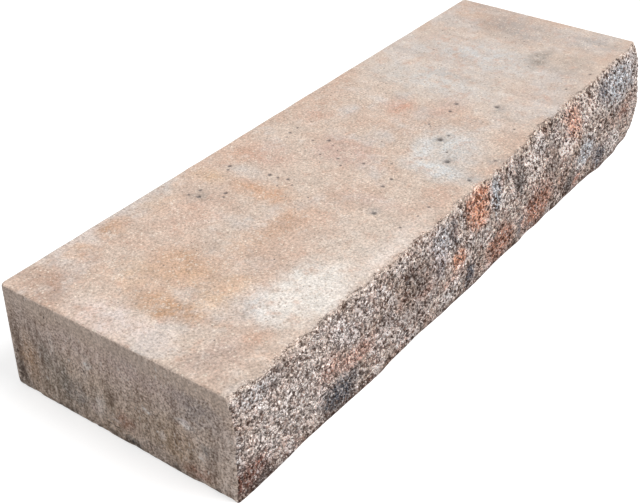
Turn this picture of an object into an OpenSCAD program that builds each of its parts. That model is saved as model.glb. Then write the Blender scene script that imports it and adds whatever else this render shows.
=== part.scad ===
// Concrete block step: one dry-cast block with a smooth tread, moulded ends and a rock-split front.
// Sizes are in millimetres. +X runs along the step, the split face looks towards -Y, +Z is up.
// The origin is on the ground, in the middle of the footprint.

/* [Block] */
// Length of the step from end to end
step_length = 1219; // [600:1:1800]
// Depth from the back to the furthest point of the split face
step_depth = 406; // [300:1:600]
// Rise from the bed to the tread
step_rise = 165; // [120:1:220]
// Radius of the two upright corners at the back
corner_radius = 8; // [6:0.5:20]
// Radius along the edges of the tread
tread_edge_radius = 3; // [1:0.5:5]
// Radius along the edges of the bed
bed_edge_radius = 2; // [1:0.5:5]

/* [Split face] */
// How far the edge of the tread lies behind the front, at the -X end
tread_setback_near = 27; // [10:1:45]
// How far the edge of the tread lies behind the front, at the +X end
tread_setback_far = 38; // [10:1:45]
// Where the edge of the tread drifts from one setback to the other, as a share of the length
tread_drift_at = 0.6; // [0.2:0.05:0.8]
// Length over which the edge of the tread drifts
tread_drift_run = 160; // [100:10:600]
// How far the belly of the split face lies behind the front, at the -X end
belly_setback_near = 17; // [0:1:20]
// How far the belly of the split face lies behind the front, at the +X end
belly_setback_far = 0; // [0:1:20]
// Height of the belly at the -X end, as a share of the rise
belly_height_near = 0.55; // [0.2:0.05:0.7]
// Height of the belly at the +X end, as a share of the rise
belly_height_far = 0.25; // [0.2:0.05:0.7]
// How far the foot falls back from the belly at the -X end; this fades out towards the +X end
foot_fall_back = 2.5; // [0:0.5:10]
// How much flatter the belly is at the +X end, as a share of its reach
end_flattening = 0.45; // [0:0.05:0.8]
// Length over which the belly flattens towards the +X end
end_run = 180; // [40:1:250]
// Radius that the break leaves where it meets the ends
break_corner_radius = 6; // [3:0.5:16]

/* [Broken surface] */
// How far the broad lumps stand out or sink in
lump_relief = 2.2; // [0:0.1:6]
// Spacing of the broad lumps
lump_spacing = 105; // [60:1:200]
// How far the small lumps stand out or sink in
knob_relief = 1.8; // [0:0.1:4]
// Spacing of the small lumps
knob_spacing = 34; // [24:1:60]
// Pattern of the break
break_pattern = 65; // [1:1:99]

/* [Hidden] */

$fn = 64;

concrete_colour = [0.80, 0.71, 0.65];

// The break is worked out on a grid that runs a little past the block on every side.
facet_size = 12;
end_steps = 4;
overshoot = 10;
end_margin = 1;
waste_depth = 30;

front_y = -step_depth / 2;
half_length = step_length / 2;
end_zone = 1.5 * break_corner_radius;
middle_steps = ceil((step_length - 2 * end_zone) / facet_size);
rows = ceil((step_rise + 2 * overshoot) / facet_size);

// Columns from the middle of the step to its +X end, closer together where the break turns the corner.
half_columns = concat(
    [for (c = [0 : middle_steps / 2]) c * (half_length - end_zone) / floor(middle_steps / 2)],
    [for (s = [1 : end_steps]) half_length - end_zone + s * (end_zone + end_margin) / end_steps],
    [half_length + overshoot]
);
column_x = concat(
    [for (c = [len(half_columns) - 1 : -1 : 1]) -half_columns[c]],
    half_columns
);
columns = len(column_x) - 1;

function row_z(r) = -overshoot + r * (step_rise + 2 * overshoot) / rows;

// A repeatable number from -1 to 1 for each crossing of a lattice.
function chance(i, j, layer) =
    let (v = sin(i * 127.1 + j * 311.7 + (layer + break_pattern) * 74.7) * 43758.5453)
    2 * (v - floor(v)) - 1;

function ease(t) = t * t * (3 - 2 * t);

function blend(a, b, t) = a + (b - a) * t;

// Smooth lumps between the crossings of a lattice.
function lumps(x, z, spacing, layer) =
    let (
        i = floor(x / spacing),
        j = floor(z / spacing),
        u = ease(x / spacing - i),
        v = ease(z / spacing - j)
    )
    blend(
        blend(chance(i, j, layer), chance(i + 1, j, layer), u),
        blend(chance(i, j + 1, layer), chance(i + 1, j + 1, layer), u),
        v
    );

// How far the even shape of the split lies behind the front: tread, belly and foot.
function split_profile(along, up, to_far_end) =
    let (
        drift = (along - tread_drift_at) * step_length / tread_drift_run + 0.5,
        tread = blend(tread_setback_near, tread_setback_far, ease(max(0, min(1, drift)))),
        belly = blend(belly_setback_near, belly_setback_far, along),
        belly_up = blend(belly_height_near, belly_height_far, along),
        above = max(0, up - belly_up) / (1 - belly_up),
        below = max(0, belly_up - up) / belly_up,
        nearness = max(0, 1 - to_far_end / end_run),
        reach = (tread - belly) * (1 - end_flattening * nearness * nearness)
    )
    tread - reach * (1 - above * above) + foot_fall_back * (1 - along) * below * below;

// How much further back the break lies where it turns the corner to an end.
function corner_turn(from_end) =
    let (inward = min(break_corner_radius, max(0, break_corner_radius - from_end)))
    break_corner_radius - sqrt(break_corner_radius * break_corner_radius - inward * inward);

function setback(x, z) =
    let (from_end = half_length - abs(x))
    split_profile(x / step_length + 0.5, z / step_rise, half_length - x)
    + corner_turn(from_end)
    + lump_relief * lumps(x, z, lump_spacing, 1)
    + knob_relief * lumps(x, z, knob_spacing, 2);

// The furthest point of the break touches the front plane.
furthest = min([
    for (c = [1 : columns - 1], r = [1 : rows - 1])
    setback(column_x[c], row_z(r))
]);

function break_y(x, z) = front_y + setback(x, z) - furthest;

// Half outline across the block: an upright side, rounded at the tread and at the bed.
module side_outline(width) {
    translate([0, bed_edge_radius])
        square([width, step_rise - tread_edge_radius - bed_edge_radius]);
    square([width - bed_edge_radius, step_rise / 2]);
    translate([0, step_rise / 2])
        square([width - tread_edge_radius, step_rise / 2]);
    translate([width - bed_edge_radius, bed_edge_radius])
        circle(bed_edge_radius);
    translate([width - tread_edge_radius, step_rise - tread_edge_radius])
        circle(tread_edge_radius);
}

// The block as it leaves the mould, with its front still square.
module moulded_block() {
    corner_x = half_length - corner_radius;
    corner_y = step_depth / 2 - corner_radius;
    rotate([90, 0, 0])
        translate([0, 0, -corner_y])
            linear_extrude(corner_y + step_depth / 2) {
                side_outline(half_length);
                mirror([1, 0])
                    side_outline(half_length);
            }
    rotate([90, 0, 90])
        translate([0, 0, -corner_x])
            linear_extrude(2 * corner_x)
                side_outline(step_depth / 2);
    for (side = [-1, 1])
        translate([side * corner_x, corner_y, 0])
            rotate_extrude()
                side_outline(corner_radius);
}

// The strip that breaks off the front. Its back is the broken surface.
module split_waste() {
    break_points = [
        for (r = [0 : rows], c = [0 : columns])
        let (clear = c == 0 || c == columns)
        [column_x[c], clear ? front_y : break_y(column_x[c], row_z(r)), row_z(r)]
    ];
    outer_points = [
        for (z = [row_z(0), row_z(rows)], x = column_x)
        [x, front_y - waste_depth, z]
    ];
    across = columns + 1;
    low = len(break_points);
    high = low + across;
    top_row = rows * across;
    break_faces = [
        for (r = [0 : rows - 1], c = [0 : columns - 1], half = [0, 1])
        let (p = r * across + c)
        half == 0
            ? [p, p + across + 1, p + across]
            : [p, p + 1, p + across + 1]
    ];
    strip_faces = [
        for (c = [0 : columns - 1], side = [0, 1, 2])
        side == 0 ? [c + 1, c, low + c, low + c + 1]
        : side == 1 ? [top_row + c, top_row + c + 1, high + c + 1, high + c]
        : [low + c + 1, low + c, high + c, high + c + 1]
    ];
    near_end_face = concat([high, low], [for (r = [0 : rows]) r * across]);
    far_end_face = concat([low + columns, high + columns], [for (r = [rows : -1 : 0]) r * across + columns]);
    polyhedron(
        points = concat(break_points, outer_points),
        faces = concat(break_faces, strip_faces, [near_end_face, far_end_face]),
        convexity = 10
    );
}

module block_step() {
    color(concrete_colour)
        difference() {
            moulded_block();
            split_waste();
        }
}

block_step();
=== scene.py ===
import math
import random

import bpy
import numpy as np
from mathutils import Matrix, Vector, geometry, noise
from mathutils.bvhtree import BVHTree


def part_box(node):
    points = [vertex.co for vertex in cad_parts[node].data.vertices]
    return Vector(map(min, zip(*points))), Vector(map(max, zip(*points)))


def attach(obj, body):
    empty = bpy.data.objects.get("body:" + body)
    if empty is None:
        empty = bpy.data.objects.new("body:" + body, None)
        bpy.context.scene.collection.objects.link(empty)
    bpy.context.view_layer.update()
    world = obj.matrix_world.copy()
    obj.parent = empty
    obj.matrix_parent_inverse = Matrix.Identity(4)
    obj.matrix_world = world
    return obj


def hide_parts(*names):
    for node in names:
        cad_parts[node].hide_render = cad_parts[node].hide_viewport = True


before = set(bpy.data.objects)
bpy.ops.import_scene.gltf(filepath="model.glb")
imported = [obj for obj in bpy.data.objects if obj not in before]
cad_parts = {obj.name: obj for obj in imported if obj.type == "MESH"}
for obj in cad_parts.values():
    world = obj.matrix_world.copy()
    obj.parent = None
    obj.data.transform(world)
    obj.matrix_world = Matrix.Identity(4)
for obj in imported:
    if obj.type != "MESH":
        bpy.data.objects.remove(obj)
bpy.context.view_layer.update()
scene = bpy.context.scene
scene.view_settings.view_transform = "Standard"
print("frame loaded")


# camera

cameraSetup = {
    "place": (-1.311, -0.794, 0.995),
    "turn": (55.86, -0.32, -54.69),  # degrees
    "lens": 62.05,
}

cameraData = bpy.data.cameras.new("stepCamera")
cameraData.lens = cameraSetup["lens"]
cameraData.sensor_width = 36
camera = bpy.data.objects.new("stepCamera", cameraData)
camera.location = cameraSetup["place"]
camera.rotation_euler = [math.radians(a) for a in cameraSetup["turn"]]
scene.collection.objects.link(camera)
scene.camera = camera
print("camera set")


# small helpers for node trees

def paint(red, green, blue):
    # screen values 0 to 255, made linear
    channels = [c / 255 for c in (red, green, blue)]
    linear = [c / 12.92 if c <= 0.04045 else ((c + 0.055) / 1.055) ** 2.4 for c in channels]
    return (*linear, 1.0)


def plug(tree, value, socket):
    if isinstance(value, bpy.types.NodeSocket):
        tree.links.new(value, socket)
    elif value is not None:
        socket.default_value = value


def newNode(tree, kind, inputs=None, **settings):
    node = tree.nodes.new(kind)
    for name, value in settings.items():
        setattr(node, name, value)
    for name, value in (inputs or {}).items():
        plug(tree, value, node.inputs[name])
    return node


def calc(tree, operation, first, second=None, third=None, clamp=False):
    node = newNode(tree, "ShaderNodeMath", operation=operation, use_clamp=clamp)
    for socket, value in zip(node.inputs, (first, second, third)):
        plug(tree, value, socket)
    return node.outputs[0]


def vectorCalc(tree, operation, first, second=None, scale=None):
    node = newNode(tree, "ShaderNodeVectorMath", operation=operation)
    plug(tree, first, node.inputs[0])
    if second is not None:
        plug(tree, second, node.inputs[1])
    if scale is not None:
        plug(tree, scale, node.inputs["Scale"])
    return node.outputs["Value" if operation == "LENGTH" else "Vector"]


def times(tree, first, second, clamp=False):
    return calc(tree, "MULTIPLY", first, second, clamp=clamp)


def larger(tree, first, second):
    return calc(tree, "MAXIMUM", first, second)


def moved(tree, place, offset):
    return vectorCalc(tree, "ADD", place, offset)


def stretched(tree, place, scale, turn=(0, 0, 0)):
    mapping = newNode(tree, "ShaderNodeMapping", {"Vector": place, "Rotation": turn, "Scale": scale})
    return mapping.outputs[0]


def axisOf(tree, place, axis):
    return newNode(tree, "ShaderNodeSeparateXYZ", {"Vector": place}).outputs[axis]


def storedShare(tree, name):
    return newNode(tree, "ShaderNodeAttribute", attribute_name=name).outputs["Fac"]


def ramp(tree, value, low, high, outLow=0.0, outHigh=1.0, shape="SMOOTHSTEP"):
    # a smooth step never leaves its range, so only the straight ramp has to be held
    node = newNode(tree, "ShaderNodeMapRange", interpolation_type=shape, clamp=(shape == "LINEAR"))
    for socket, item in zip(node.inputs, (value, low, high, outLow, outHigh)):
        plug(tree, item, socket)
    return node.outputs[0]


def mixColour(tree, share, first, second, blend="MIX"):
    node = newNode(tree, "ShaderNodeMix", data_type="RGBA", blend_type=blend)
    plug(tree, share, node.inputs[0])
    plug(tree, first, node.inputs[6])
    plug(tree, second, node.inputs[7])
    return node.outputs[2]


def mixValue(tree, share, first, second):
    node = newNode(tree, "ShaderNodeMix", data_type="FLOAT")
    plug(tree, share, node.inputs[0])
    plug(tree, first, node.inputs[2])
    plug(tree, second, node.inputs[3])
    return node.outputs[0]


def darken(tree, colour, shade):
    # colour times a grey level
    grey = newNode(tree, "ShaderNodeCombineColor", {"Red": shade, "Green": shade, "Blue": shade})
    return mixColour(tree, 1.0, colour, grey.outputs[0], "MULTIPLY")


def darkenWarmly(tree, colour, shade, tint, amount=0.8):
    # as above, with the darker parts turned towards a tint
    shaded = darken(tree, colour, shade)
    return mixColour(tree, ramp(tree, shade, 0.3, 1.0, amount, 0.0), shaded, tint, "MULTIPLY")


def around(tree, value, spread):
    # a 0 to 1 value turned into a multiplier centred on 1
    return calc(tree, "MULTIPLY_ADD", calc(tree, "SUBTRACT", value, 0.5), spread, 1.0)


def noiseField(tree, place, scale, detail=2.0, roughness=0.5, output="Fac"):
    return newNode(tree, "ShaderNodeTexNoise", {
        "Vector": place, "Scale": scale, "Detail": detail, "Roughness": roughness}).outputs[output]


def roughen(tree, place, scale, amount, detail=4.0, roughness=0.6):
    # shifts a place a little, so that rims wander
    shift = noiseField(tree, place, scale, detail, roughness, "Color")
    shift = vectorCalc(tree, "SUBTRACT", shift, (0.5, 0.5, 0.5))
    return moved(tree, place, vectorCalc(tree, "SCALE", shift, scale=amount))


def cells(tree, place, scale, feature="F1"):
    return newNode(tree, "ShaderNodeTexVoronoi", {"Vector": place, "Scale": scale}, feature=feature)


def newGroup(name, inputs, outputs, kind="ShaderNodeTree"):
    # inputs: name to (socket kind, default); outputs: name to socket kind
    tree = bpy.data.node_groups.new(name, kind)
    for label, (socketKind, default) in inputs.items():
        socket = tree.interface.new_socket(label, in_out="INPUT", socket_type="NodeSocket" + socketKind)
        if default is not None:
            socket.default_value = default
    for label, socketKind in outputs.items():
        tree.interface.new_socket(label, in_out="OUTPUT", socket_type="NodeSocket" + socketKind)
    return tree, tree.nodes.new("NodeGroupInput"), tree.nodes.new("NodeGroupOutput")


def useGroup(tree, group, inputs=None):
    node = tree.nodes.new("ShaderNodeGroup")
    node.node_tree = group
    for name, value in (inputs or {}).items():
        plug(tree, value, node.inputs[name])
    return node


# shader groups

placeOnly = {"Place": ("Vector", None)}
lookOutputs = {"Colour": "Color", "Roughness": "Float", "Height": "Float"}


def makeSoftPatch():
    # an oval stain with a soft rim
    tree, given, out = newGroup("softPatch", {
        **placeOnly, "Centre": ("Vector", (0, 0, 0)), "Reach": ("Vector", (1, 1, 1)),
        "Softness": ("Float", 0.8)}, {"Mask": "Float"})
    away = vectorCalc(tree, "SUBTRACT", given.outputs["Place"], given.outputs["Centre"])
    away = vectorCalc(tree, "DIVIDE", away, given.outputs["Reach"])
    distance = vectorCalc(tree, "LENGTH", away)
    inner = calc(tree, "SUBTRACT", 1.0, given.outputs["Softness"])
    plug(tree, ramp(tree, distance, inner, 1.25, 1.0, 0.0), out.inputs["Mask"])
    return tree


def makeSandGrain():
    # fine sand in cement paste: soft light and dark, and single grains that stand out
    tree, given, out = newGroup("sandGrain", {
        **placeOnly, "Scale": ("Float", 600.0), "Contrast": ("Float", 0.2)},
        {"Shade": "Float", "Height": "Float", "Pale Grains": "Float", "Dark Grains": "Float"})
    place, scale = given.outputs["Place"], given.outputs["Scale"]
    soft = noiseField(tree, place, scale, 4.0, 0.75)
    sand = cells(tree, roughen(tree, place, scale, calc(tree, "DIVIDE", 1.1, scale), 1.0, 0.5), scale)
    chance = newNode(tree, "ShaderNodeSeparateColor", {"Color": sand.outputs["Color"]}).outputs[0]
    grain = ramp(tree, sand.outputs["Distance"], 0.22, 0.55, 1.0, 0.0)
    pale = times(tree, grain, ramp(tree, chance, 0.68, 0.92))
    dark = times(tree, grain, ramp(tree, chance, 0.10, 0.28, 1.0, 0.0))
    spread = times(tree, calc(tree, "SUBTRACT", soft, 0.5), 2.4)
    plug(tree, calc(tree, "MULTIPLY_ADD", spread, given.outputs["Contrast"], 1.0), out.inputs["Shade"])
    plug(tree, calc(tree, "MULTIPLY_ADD", soft, 1.4, times(tree, grain, 0.4)), out.inputs["Height"])
    plug(tree, pale, out.inputs["Pale Grains"])
    plug(tree, dark, out.inputs["Dark Grains"])
    return tree


def makeAggregate():
    # small stones packed in paste: a tone for each, a rounded top, and the joints between them for
    # painted shade
    tree, given, out = newGroup("aggregate", {**placeOnly, "Size": ("Float", 0.005)},
                                {"Tone": "Float", "Dome": "Float", "Joint": "Float"})
    place, size = given.outputs["Place"], given.outputs["Size"]
    perMetre = calc(tree, "DIVIDE", 1.0, size)
    bent = roughen(tree, place, times(tree, perMetre, 1.4), times(tree, size, 1.2), 3.0, 0.65)
    stone = cells(tree, bent, perMetre)
    rim = cells(tree, bent, perMetre, "DISTANCE_TO_EDGE").outputs["Distance"]
    tone = newNode(tree, "ShaderNodeSeparateColor", {"Color": stone.outputs["Color"]}).outputs[0]
    plug(tree, tone, out.inputs["Tone"])
    plug(tree, ramp(tree, rim, 0.0, 0.40), out.inputs["Dome"])
    plug(tree, ramp(tree, rim, 0.01, 0.13, 1.0, 0.0), out.inputs["Joint"])
    return tree


def makePores():
    # holes or grains: ragged dots, some left out
    tree, given, out = newGroup("pores", {
        **placeOnly, "Spacing": ("Float", 0.006), "Width": ("Float", 0.3), "Share": ("Float", 0.7)},
        {"Mask": "Float"})
    place, spacing = given.outputs["Place"], given.outputs["Spacing"]
    perMetre = calc(tree, "DIVIDE", 1.0, spacing)
    bent = roughen(tree, place, times(tree, perMetre, 1.5), times(tree, spacing, 1.3), 2.0, 0.6)
    dots = cells(tree, bent, perMetre)
    drawn = newNode(tree, "ShaderNodeSeparateColor", {"Color": dots.outputs["Color"]})
    spread = ramp(tree, drawn.outputs[2], 0.0, 1.0, 0.6, 1.3, "LINEAR")
    width = times(tree, given.outputs["Width"], spread)
    dot = ramp(tree, dots.outputs["Distance"], times(tree, width, 0.7), width, 1.0, 0.0)
    kept = calc(tree, "LESS_THAN", drawn.outputs[0], given.outputs["Share"])
    plug(tree, times(tree, dot, kept), out.inputs["Mask"])
    return tree


softPatch = makeSoftPatch()
sandGrain = makeSandGrain()
aggregate = makeAggregate()
pores = makePores()


def poreMask(tree, place, spacing, width, share):
    return useGroup(tree, pores, {
        "Place": place, "Spacing": spacing, "Width": width, "Share": share}).outputs[0]


def sandOn(tree, place, scale, contrast):
    return useGroup(tree, sandGrain, {"Place": place, "Scale": scale, "Contrast": contrast})


# stains are listed in millimetres on their face; a face is the axis it looks along and its level there
treadFace, endFace, splitFace = (2, 0.165), (0, -0.61), (1, -0.19)
stainDepth = 0.3
usualSoftness = 0.9


def layPatches(tree, colour, place, patches, face, breakUp=None):
    axis, level = face
    for first, second, firstReach, secondReach, tint, strength, *softness in patches:
        centre, reach = [first / 1000, second / 1000], [firstReach / 1000, secondReach / 1000]
        centre.insert(axis, level)
        reach.insert(axis, stainDepth)
        mask = useGroup(tree, softPatch, {
            "Place": place, "Centre": centre, "Reach": reach,
            "Softness": softness[0] if softness else usualSoftness}).outputs[0]
        if breakUp is not None:
            mask = times(tree, mask, breakUp)
        colour = mixColour(tree, times(tree, mask, strength), colour, paint(*tint))
    return colour


# smooth tread

treadFinish = {
    "tan": paint(214, 194, 179),
    "rose": paint(210, 184, 167),
    "warmGrey": paint(211, 204, 200),
    "blush": paint(206, 168, 148),
    "bloom": paint(228, 217, 208),
    # scales are repeats per metre
    "wanderScale": 16.0,
    "wander": 0.045,  # how far the stains' rims stray
    "cloudScale": 6.0,
    "greyScale": 8.0,
    "breakUpScale": 50.0,
    "blushScale": 46.0,
    "mottleScale": 38.0,
    "mottle": 0.44,
    "bandScale": 44.0,
    "bandLength": 0.12,
    "sandScale": 280.0,
    "sandContrast": 0.80,
    "paleSand": paint(236, 222, 206),
    # painted shade in the tread's pits
    "darkSand": paint(168, 146, 130),
    "pitShadeColour": paint(112, 106, 104),
}
ochre, rose, chalk = (220, 188, 160), (212, 173, 154), (210, 208, 206)
taupe, cream, smudge = (182, 168, 157), (228, 213, 206), (172, 168, 165)
treadPatches = [
    # x, y, reach along x and y, colour, strength, softness where it is not the usual one
    (-520, -10, 22, 70, (202, 162, 132), 1.05, 0.7),
    (-440, 40, 45, 50, (210, 171, 143), 0.85, 0.8),
    (-460, -45, 60, 30, ochre, 0.75, 0.8),
    (-470, 10, 80, 95, ochre, 0.45),
    (-560, -70, 40, 40, (226, 206, 190), 0.5),
    (-490, 80, 30, 40, ochre, 0.6),
    (-310, 0, 110, 35, (212, 178, 154), 0.65),
    (-260, -10, 50, 30, (204, 168, 144), 0.85),
    (-225, 70, 32, 70, (208, 170, 144), 0.95),
    (-240, 165, 30, 30, ochre, 0.8),
    (-500, 168, 30, 30, (208, 172, 146), 0.7),
    (-340, 170, 50, 30, ochre, 0.4),
    (-570, 150, 50, 50, (184, 151, 132), 0.85),
    (-520, 120, 50, 30, (206, 174, 154), 0.55),
    (-430, 175, 40, 25, (202, 166, 140), 1),
    (-330, 120, 70, 60, rose, 0.35),
    (-140, 130, 50, 60, (206, 172, 156), 0.7),
    (-160, 160, 50, 30, (212, 172, 148), 0.55),
    (-70, 40, 40, 70, (204, 174, 162), 0.85),
    (10, 145, 40, 25, rose, 0.6),
    (120, 50, 40, 40, (210, 166, 146), 0.85),
    (175, -10, 70, 35, (206, 174, 158), 0.85),
    (-550, -120, 50, 35, (198, 172, 160), 0.65),
    (-585, -105, 25, 20, (188, 166, 154), 0.75),
    (-500, -135, 30, 22, (210, 172, 150), 0.9),
    (-90, -150, 60, 30, (210, 178, 160), 0.8),
    (-35, 40, 18, 60, (202, 170, 156), 0.6),
    (-160, -80, 25, 60, (206, 182, 172), 0.6),
    (-580, 20, 35, 90, cream, 0.9, 0.8),
    (-450, -100, 50, 50, (222, 219, 217), 0.95),
    (-390, -130, 100, 60, (238, 230, 222), 1.5),
    (-250, -160, 120, 30, (232, 218, 208), 1.05),
    (-270, -110, 70, 60, (220, 206, 194), 0.75),
    (-200, 120, 20, 50, chalk, 0.4),
    (-30, -110, 30, 70, (216, 216, 215), 1.05),
    (50, -80, 80, 60, (214, 213, 211), 0.85),
    (10, -55, 50, 18, (222, 222, 221), 0.8),
    (30, -120, 60, 40, (208, 206, 204), 0.6),
    (60, 115, 30, 18, (212, 210, 210), 0.7),
    (240, 50, 80, 180, (212, 208, 204), 0.8),
    (380, 40, 100, 160, chalk, 0.85),
    (300, -130, 180, 50, (208, 200, 195), 0.7),
    (280, 60, 20, 40, (190, 188, 187), 0.55),
    (430, -55, 60, 18, (168, 157, 148), 0.95),
    (440, -110, 60, 50, taupe, 0.55),
    (540, 80, 70, 60, (182, 168, 160), 0.95),
    (530, 20, 80, 60, (190, 179, 172), 0.95),
    (550, -100, 60, 80, (192, 183, 178), 0.9),
    (590, 140, 30, 70, (192, 180, 173), 0.7),
    (470, 150, 60, 40, (204, 192, 183), 0.6),
    (-290, 135, 25, 40, taupe, 0.7),
    (60, -62, 22, 12, smudge, 0.75),
    (5, -110, 18, 12, smudge, 0.7),
    (-20, -160, 25, 18, smudge, 0.75),
    (50, -165, 22, 14, smudge, 0.65),
    (210, -85, 20, 14, smudge, 0.5),
    (-185, -95, 12, 14, smudge, 0.45),
]


def makeTreadLook(values):
    tree, given, out = newGroup("treadLook", placeOnly, lookOutputs)
    place = given.outputs["Place"]
    wandering = roughen(tree, place, values["wanderScale"], values["wander"])
    clouds = noiseField(tree, wandering, values["cloudScale"], 4.0, 0.6)
    colour = mixColour(tree, ramp(tree, clouds, 0.42, 0.60), values["tan"], values["rose"])
    greys = noiseField(tree, moved(tree, wandering, (3.1, 1.7, 0.4)), values["greyScale"], 4.0, 0.62)
    colour = mixColour(tree, times(tree, ramp(tree, greys, 0.5, 0.64), 0.6), colour, values["warmGrey"])
    breakUp = noiseField(tree, place, values["breakUpScale"], 5.0, 0.7)
    breakUp = ramp(tree, breakUp, 0.35, 0.6, 0.35, 1.15, "LINEAR")
    colour = layPatches(tree, colour, wandering, treadPatches, treadFace, breakUp)
    # small blushes and pale bloom, cloudy mottling, faint bands across the tread, then the sand
    flecks = noiseField(tree, moved(tree, place, (0.7, 2.1, 0.0)), values["blushScale"], 6.0, 0.72)
    colour = mixColour(tree, ramp(tree, flecks, 0.52, 0.70, 0.0, 0.5), colour, values["blush"])
    colour = mixColour(tree, ramp(tree, flecks, 0.30, 0.46, 0.45, 0.0), colour, values["bloom"])
    mottle = noiseField(tree, place, values["mottleScale"], 6.0, 0.68)
    banded = stretched(tree, wandering, (1.0, values["bandLength"], 1.0))
    bands = noiseField(tree, banded, values["bandScale"], 4.0, 0.6)
    grain = sandOn(tree, place, values["sandScale"], values["sandContrast"])
    colour = mixColour(tree, times(tree, grain.outputs["Pale Grains"], 0.8), colour, values["paleSand"])
    colour = mixColour(tree, times(tree, grain.outputs["Dark Grains"], 0.65), colour, values["darkSand"])
    # cloudier near the -X end; the far third is richer in paste and calmer
    along = axisOf(tree, wandering, 0)
    cloudy = times(tree, ramp(tree, along, -0.50, -0.15, 1.75, 1.0), values["mottle"])
    shade = times(tree, around(tree, mottle, cloudy),
                 around(tree, bands, ramp(tree, along, 0.05, 0.30, 0.26, 0.42)))
    far = ramp(tree, along, 0.05, 0.35, 1.0, 0.5)
    shade = times(tree, shade, mixValue(tree, far, 1.0, grain.outputs["Shade"]))
    shaded = darken(tree, colour, shade)
    # painted shade in the tread's pits, darkest at their middles
    hollowShade = storedShare(tree, "pitShadeShare")
    shaded = mixColour(tree, times(tree, hollowShade, 0.85, clamp=True), shaded, values["pitShadeColour"])
    plug(tree, shaded, out.inputs["Colour"])
    plug(tree, ramp(tree, mottle, 0.3, 0.7, 0.82, 0.95), out.inputs["Roughness"])
    swell = times(tree, mottle, 1.6)
    plug(tree, calc(tree, "ADD", times(tree, grain.outputs["Height"], 0.5), swell), out.inputs["Height"])
    return tree


# moulded ends and back

mouldFinish = {
    "brownGrey": paint(205, 187, 176),
    "tan": paint(207, 186, 170),
    "slate": paint(170, 160, 154),
    "laitance": paint(206, 187, 174),
    "shadeTint": paint(255, 236, 222),
    "wanderScale": 26.0,
    "wander": 0.03,
    "cloudScale": 12.0,
    "slateScale": 18.0,
    "breakUpScale": 120.0,
    "mottleScale": 110.0,
    "mottle": 1.6,
    "lean": 7,  # degrees, of the drag marks
    "streakScale": 190.0,
    "streakLength": 0.42,  # smaller draws them out more
    "broadScale": 80.0,
    "broadLength": 0.10,
    "sandScale": 300.0,
    "sandContrast": 1.8,
    "fleck": paint(228, 216, 208),
    "fleckSpacing": 0.0050,
    "holeSpacing": 0.0046,
    # painted shade for the pinholes and the crumbled foot
    "holeShadeColour": paint(86, 76, 70),
}
slate, rust, scuff = (146, 139, 135), (172, 128, 108), (214, 200, 192)
mouldPatches = [
    # y, z, reach along y and z, and so on
    (-120, 118, 50, 28, (142, 138, 136), 0.85),
    (-130, 128, 30, 12, (118, 117, 119), 0.5),
    (115, 55, 30, 50, (138, 130, 122), 0.85),
    (20, 120, 250, 35, (206, 184, 177), 0.6),
    (110, 45, 100, 45, (170, 152, 136), 0.6),
    (170, 85, 55, 60, (164, 145, 133), 0.95),
    (101, 53, 12, 40, (118, 112, 104), 0.8),
    (134, 80, 10, 30, (130, 124, 116), 0.7),
    (20, 62, 14, 24, (142, 124, 108), 0.8),
    (-12, 36, 20, 15, (164, 124, 104), 0.8),
    (-70, 50, 40, 35, (168, 148, 128), 0.8),
    (-144, 28, 12, 20, (138, 116, 102), 0.7),
    (75, 40, 30, 30, slate, 0.7),
    (-140, 60, 20, 14, slate, 0.8),
    (190, 30, 18, 40, (112, 98, 88), 0.95),
    (150, 110, 50, 30, (176, 158, 148), 0.6),
    (165, 60, 18, 50, (196, 164, 138), 0.85),
    (-90, 45, 45, 50, (192, 166, 142), 0.8),
    (-30, 70, 20, 50, (168, 146, 126), 0.6),
    (-120, 18, 30, 14, rust, 0.8),
    (0, 38, 16, 22, rust, 0.5),
    (-104, 91, 20, 8, (236, 226, 222), 1.2),
    (-42, 79, 12, 5, scuff, 1.2),
    (-62, 50, 8, 10, scuff, 0.9),
    (56, 100, 7, 8, (228, 220, 214), 0.9),
    (118, 100, 4, 30, scuff, 0.8),
    (-130, 52, 14, 6, scuff, 0.8),
    (40, 46, 13, 26, (230, 219, 211), 1.1),
    (-10, 90, 50, 30, (206, 188, 178), 0.5),
    (60, 95, 10, 30, scuff, 0.6),
    (-40, 130, 80, 20, (196, 176, 170), 0.6),
    (46, 36, 14, 12, (222, 202, 194), 0.9),
    (-15, 8, 20, 9, (66, 64, 64), 0.95, 0.8),
]
# the dark marks are painted shade in small holes
whiteMark, holeShadeMark = (244, 238, 234), (66, 54, 48)
mouldMarks = [
    # small pale chips and grains, and holes with their shade painted dark
    (58, 102, 3.5, 3, whiteMark, 1),
    (53, 96, 2.5, 2.5, whiteMark, 0.9),
    (-41, 79, 5, 2.5, whiteMark, 0.9),
    (-47, 75, 3, 2.5, whiteMark, 0.9),
    (-106, 94, 10, 3, (236, 222, 220), 0.9),
    (-128, 46, 4, 3, whiteMark, 0.8),
    (-60, 51, 2.2, 2.2, whiteMark, 0.9),
    (42, 48, 6, 3.5, (236, 222, 216), 0.8),
    (14, 31, 12, 3, (228, 212, 204), 0.8),
    (136, 40, 2.5, 4, whiteMark, 0.7),
    (123.5, 145.5, 2.5, 2.5, holeShadeMark, 1),
    (165, 74, 3, 2.5, holeShadeMark, 0.9),
    (188.5, 62, 3, 3, holeShadeMark, 1),
    (62, 88, 2.5, 2.5, holeShadeMark, 0.9),
    (25, 21, 6, 1.8, holeShadeMark, 1),
    (12, 20, 7, 1.8, holeShadeMark, 1),
]


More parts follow.
